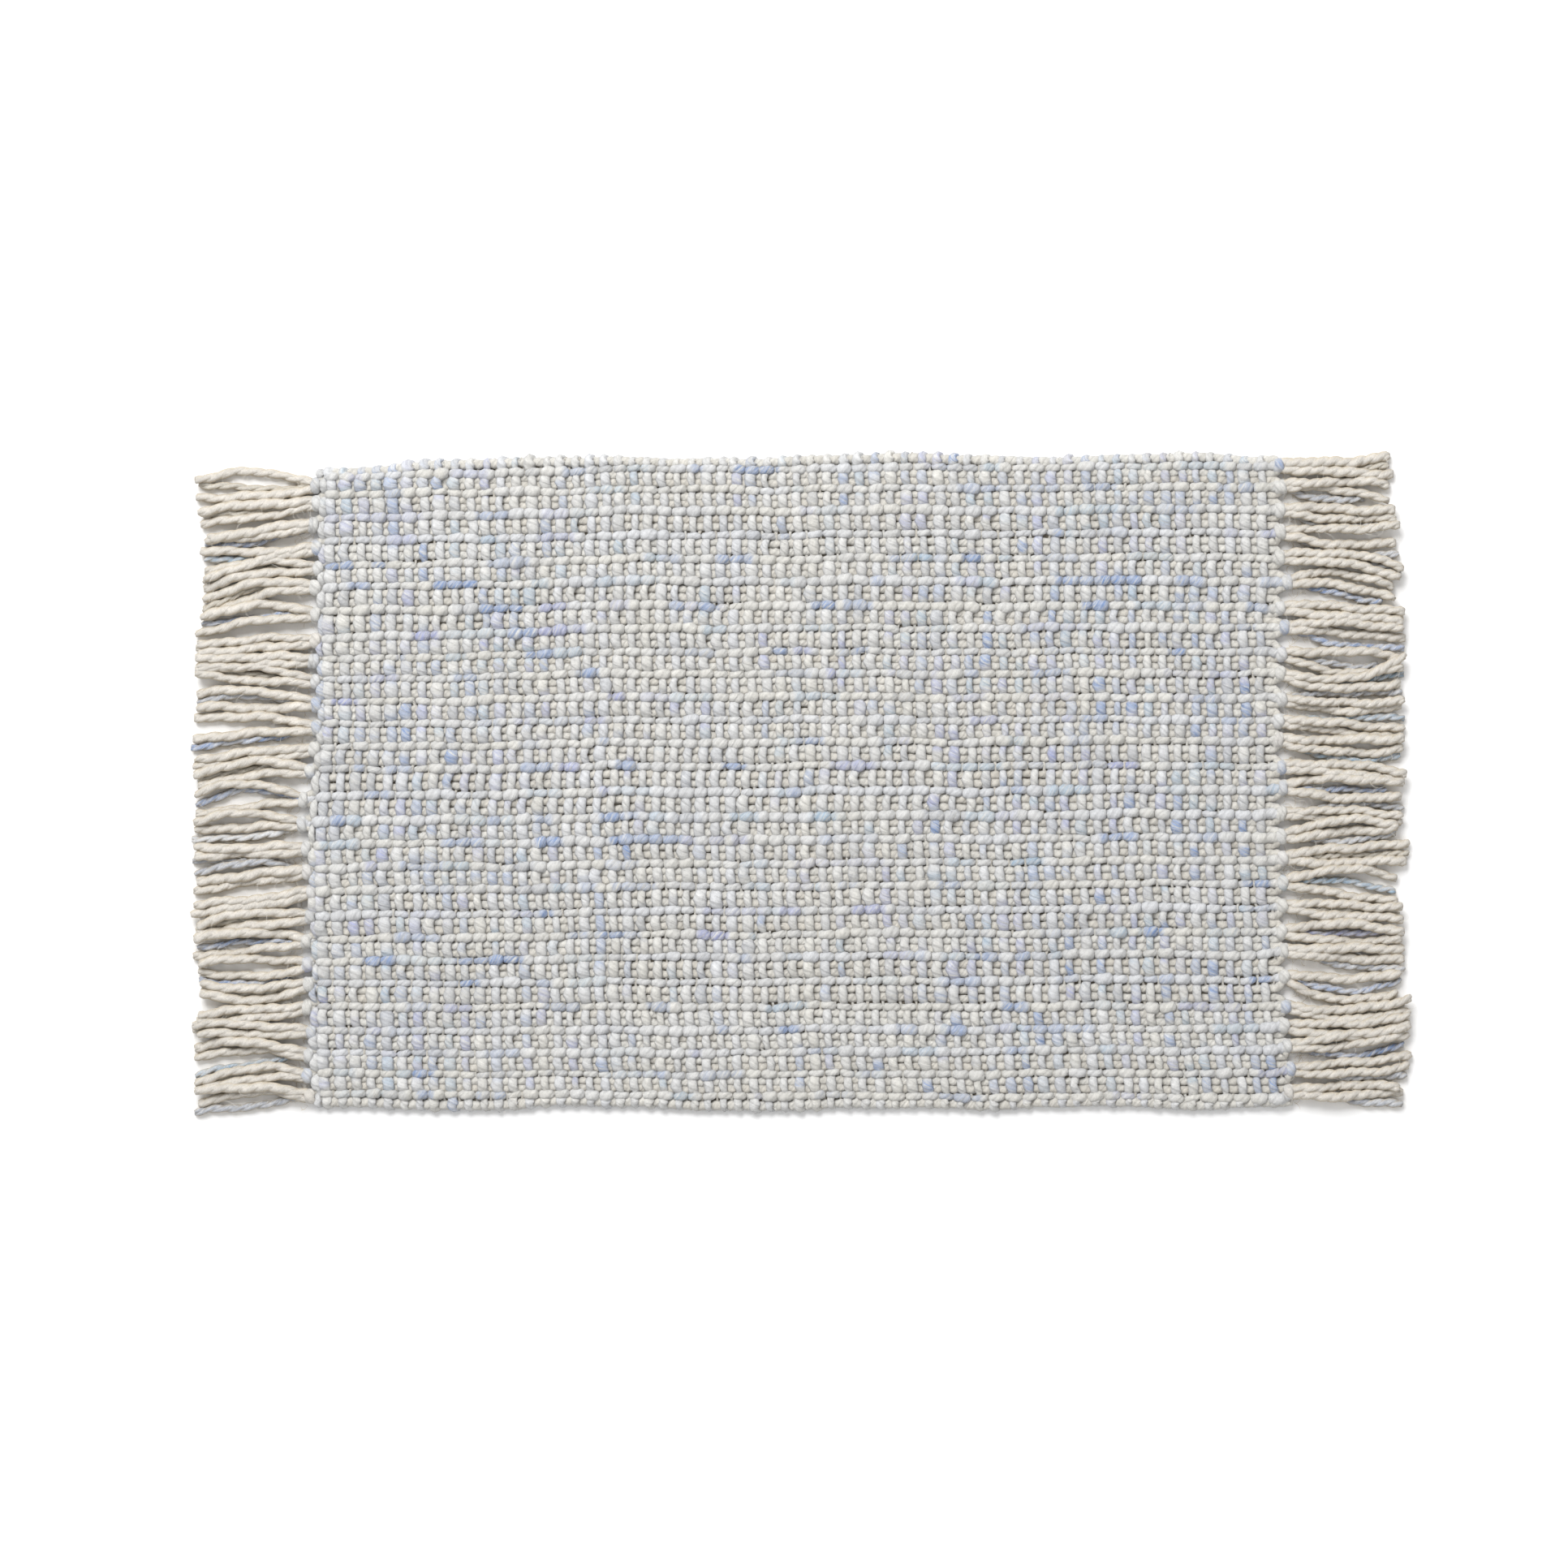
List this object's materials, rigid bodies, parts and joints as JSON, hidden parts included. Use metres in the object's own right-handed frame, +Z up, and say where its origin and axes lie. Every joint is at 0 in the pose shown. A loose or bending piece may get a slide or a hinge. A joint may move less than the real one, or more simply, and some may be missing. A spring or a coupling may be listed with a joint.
{
  "type": "doormat",
  "caption": "Flat hand-woven jute doormat with raised lengthwise yarn rows and a knotted yarn fringe along each short end, lying level on the floor.",
  "frame": {"origin": "on the floor under the middle of the mat's outer box, fringes included", "axes": "+X along the mat's length, +Y across it, +Z up from the floor through its thickness"},
  "size_m": [0.896, 0.4878, 0.011],
  "materials": {
    "woven_yarn": "matte, fuzzy plain weave of pale grey-white slub yarn with blue flecks and cream two-ply yarn",
    "fringe_yarn": "matte, fuzzy cream two-ply yarn ends with a few pale blue ones"
  },
  "bodies": {
    "root": {"woven_panel": "woven_yarn", "fringe_left": "fringe_yarn", "fringe_right": "fringe_yarn"}
  },
  "joints": []
}
